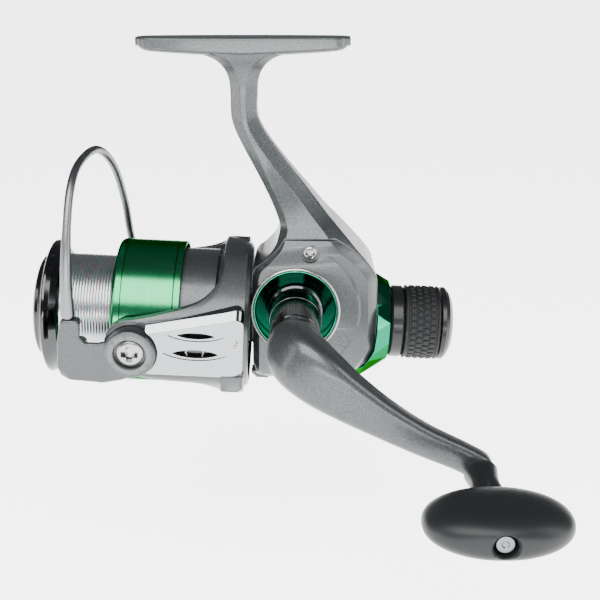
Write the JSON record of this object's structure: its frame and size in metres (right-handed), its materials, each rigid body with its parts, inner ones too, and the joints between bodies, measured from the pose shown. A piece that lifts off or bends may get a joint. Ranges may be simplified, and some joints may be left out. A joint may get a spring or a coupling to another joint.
{
  "type": "spinning reel",
  "caption": "Rear-drag spinning reel with a folding bail, a skirted spool, a bent crank handle with a paddle knob and a tall foot.",
  "frame": {"origin": "middle of the foot's top face, where the reel sits under the rod", "axes": "+Z out of the foot into the rod, +X along the foot to the rear, handle on the -Y side"},
  "size_m": [0.1516, 0.1336, 0.117],
  "materials": {
    "silver": "metallic silver-grey paint",
    "green": "bright green anodised",
    "chrome": "polished chrome",
    "dark": "dark titanium chrome",
    "steel": "bright steel",
    "brass": "machined brass",
    "zinc": "die-cast zinc",
    "alloy": "turned aluminium",
    "rubber": "black knurled rubber",
    "knob": "satin dark grey plastic",
    "gloss_black": "gloss black plastic",
    "fibre": "drag washer fibre"
  },
  "bodies": {
    "housing": {"body_housing": "silver", "side_cover": "silver", "cover_screw_upper": "steel", "cover_screw_lower": "steel", "dish_ring": "green", "handle_boss": "dark", "gear_bearing_near": "steel", "gear_bearing_far": "steel", "pinion_bearing": "steel", "bearing_plate": "zinc", "slider_guide_rod": "steel", "oscillation_axle": "steel", "rear_cover": "green", "drag_washer_eared_front": "steel", "drag_washer_eared_rear": "steel"},
    "crank": {"drive_gear": "zinc", "gear_shaft": "steel", "small_drive_gear": "brass", "handle_rod": "steel", "handle_collar": "dark", "handle_lock_cap": "gloss_black", "handle_arm": "silver", "knob_post": "steel", "knob_end_plug": "steel"},
    "handle_knob": {"handle_knob": "knob"},
    "oscillation_gear": {"oscillation_gear": "brass"},
    "slider": {"oscillation_slider": "zinc"},
    "spool": {"main_shaft": "steel", "spool_core": "alloy", "spool_skirt": "green", "spool_lip": "dark", "spool_cap": "dark"},
    "spool_button": {"spool_button": "gloss_black"},
    "drag_hub": {"drag_hub": "steel", "drag_washer_keyed_front": "fibre", "drag_washer_keyed_rear": "fibre", "drag_click_wheel": "gloss_black"},
    "drag_knob": {"drag_knob": "gloss_black", "drag_grip": "rubber", "drag_end_cap": "gloss_black", "drag_screw": "brass"},
    "rotor": {"rotor": "silver", "pinion_gear": "brass", "rotor_nut": "steel", "ratchet_wheel": "steel", "bail_cover_near": "chrome", "bail_cover_far": "chrome", "bail_spring": "steel", "pivot_screw_near": "steel", "pivot_screw_far": "steel", "arm_cover_screw": "steel"},
    "bail": {"bail_arm": "silver", "bail_wire": "chrome", "far_bail_arm": "silver", "roller_pin": "steel"},
    "line_roller": {"line_roller": "chrome"},
    "anti_reverse": {"anti_reverse_lever": "silver", "anti_reverse_pawl": "steel"}
  },
  "joints": [
    {"name": "handle_turn", "type": "hinge", "parent": "housing", "child": "crank", "pos_m": [0.0154, 0, -0.0808], "axis": [0, -1, 0], "continuous": true},
    {"name": "rotor_turn", "type": "hinge", "parent": "housing", "child": "rotor", "pos_m": [-0.00458, 0, -0.08702], "axis": [0.9988, 0, -0.0489], "continuous": true},
    {"name": "oscillation_turn", "type": "hinge", "parent": "housing", "child": "oscillation_gear", "pos_m": [0.0234, 0, -0.09167], "axis": [0, -1, 0], "continuous": true},
    {"name": "spool_stroke", "type": "slide", "parent": "housing", "child": "slider", "axis": [0.9988, 0, -0.0489], "range_m": [-0.008, 0.003]},
    {"name": "spool_turn", "type": "hinge", "parent": "slider", "child": "spool", "pos_m": [-0.04453, 0, -0.08507], "axis": [0.9988, 0, -0.0489], "continuous": true},
    {"name": "drag_hub_turn", "type": "hinge", "parent": "housing", "child": "drag_hub", "pos_m": [0.03937, 0, -0.08917], "axis": [0.9988, 0, -0.0489], "continuous": true},
    {"name": "spool_button_press", "type": "slide", "parent": "spool", "child": "spool_button", "axis": [0.9988, 0, -0.0489], "range_m": [0, 0.0008], "stiffness_N_per_m": 400},
    {"name": "drag_knob_turn", "type": "hinge", "parent": "housing", "child": "drag_knob", "pos_m": [0.05335, 0, -0.08986], "axis": [0.9988, 0, -0.0489], "range_deg": [-360, 720]},
    {"name": "bail_open", "type": "hinge", "parent": "rotor", "child": "bail", "pos_m": [-0.03354, 0, -0.08561], "axis": [-0.0055, -0.9936, -0.1131], "range_deg": [0, 105]},
    {"name": "line_roller_turn", "type": "hinge", "parent": "bail", "child": "line_roller", "pos_m": [-0.05139, -0.0287, -0.08196], "axis": [0.0485, -0.1132, 0.9924], "continuous": true},
    {"name": "knob_turn", "type": "hinge", "parent": "crank", "child": "handle_knob", "pos_m": [0.06581, -0.08, -0.11049], "axis": [0, -1, 0], "continuous": true},
    {"name": "anti_reverse_switch", "type": "hinge", "parent": "housing", "child": "anti_reverse", "pos_m": [0.00684, 0, -0.0992], "axis": [0.9988, 0, -0.0489], "range_deg": [0, 20]}
  ],
  "couplings": [
    {"joint": "rotor_turn", "follows": "handle_turn", "ratio": -5.125},
    {"joint": "oscillation_turn", "follows": "handle_turn", "ratio": -0.63636},
    {"joint": "drag_hub_turn", "follows": "spool_turn", "ratio": 1}
  ]
}
